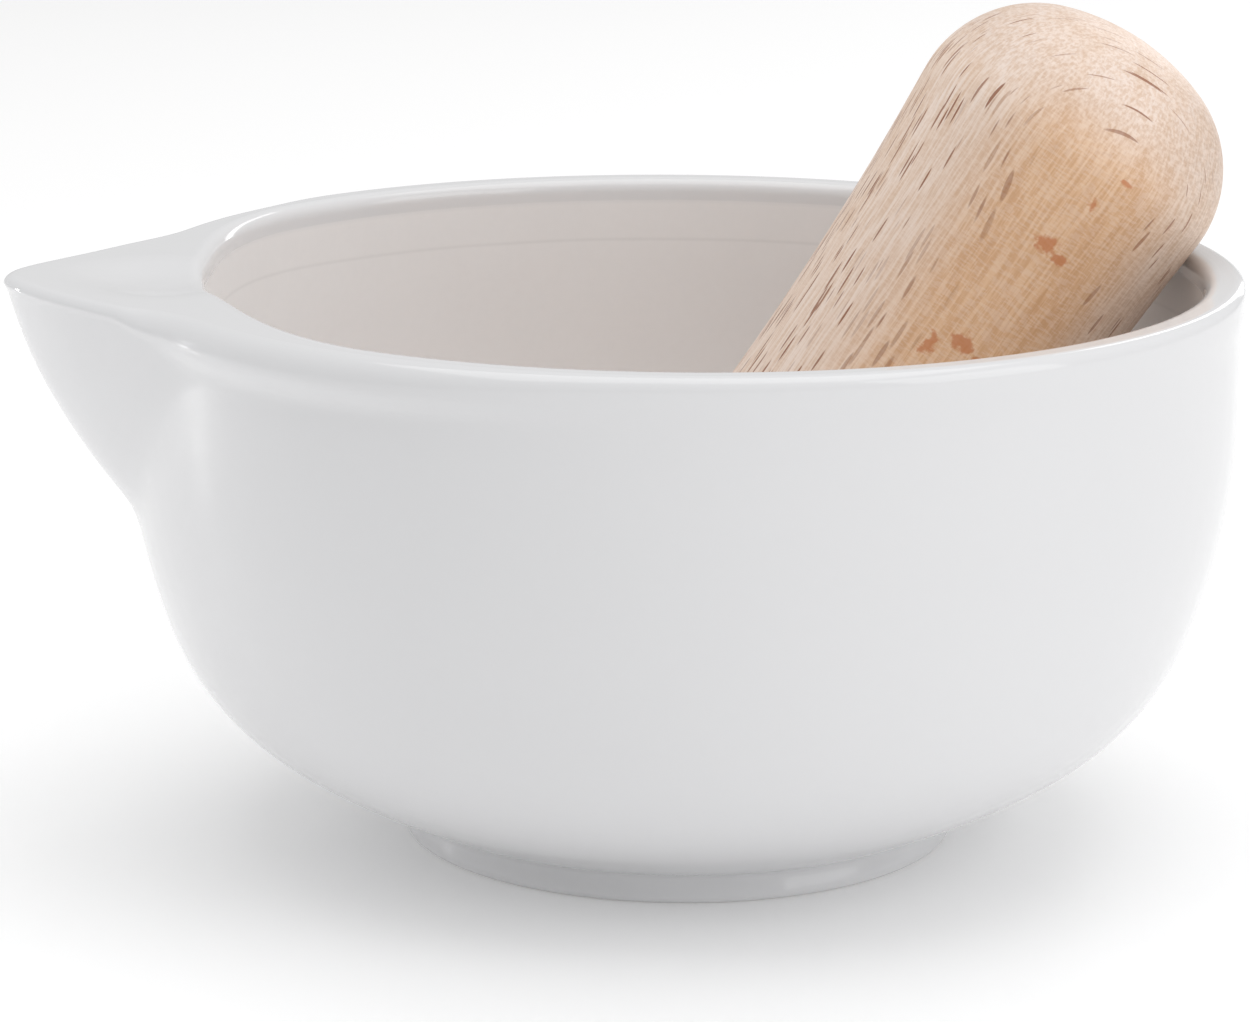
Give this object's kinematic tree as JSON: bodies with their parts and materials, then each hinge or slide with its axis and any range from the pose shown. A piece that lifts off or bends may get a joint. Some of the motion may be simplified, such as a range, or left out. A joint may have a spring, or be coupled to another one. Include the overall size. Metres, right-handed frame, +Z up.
{
  "type": "mortar and pestle",
  "caption": "Thick-walled porcelain mortar with a pouring spout and a low foot ring, and a short turned beech pestle that rests in the bowl and lifts out.",
  "frame": {"origin": "centre of the foot ring, on the plane that the mortar stands on", "axes": "+Z up along the bowl's axis; the spout points to -X, turned 11 degrees towards -Y; the pestle leans towards +X"},
  "size_m": [0.153, 0.1402, 0.1041],
  "materials": {
    "glazed_porcelain": "white glaze, glossy; the inside of the bowl is unglazed and matt",
    "beech": "fine-sanded plain beech, no lacquer"
  },
  "bodies": {
    "mortar": {"mortar": "glazed_porcelain"},
    "pestle": {"pestle": "beech"}
  },
  "joints": [
    {"name": "pestle_lift", "type": "slide", "parent": "mortar", "child": "pestle", "axis": [0, 0, 1], "range_m": [0, 0.09]}
  ]
}
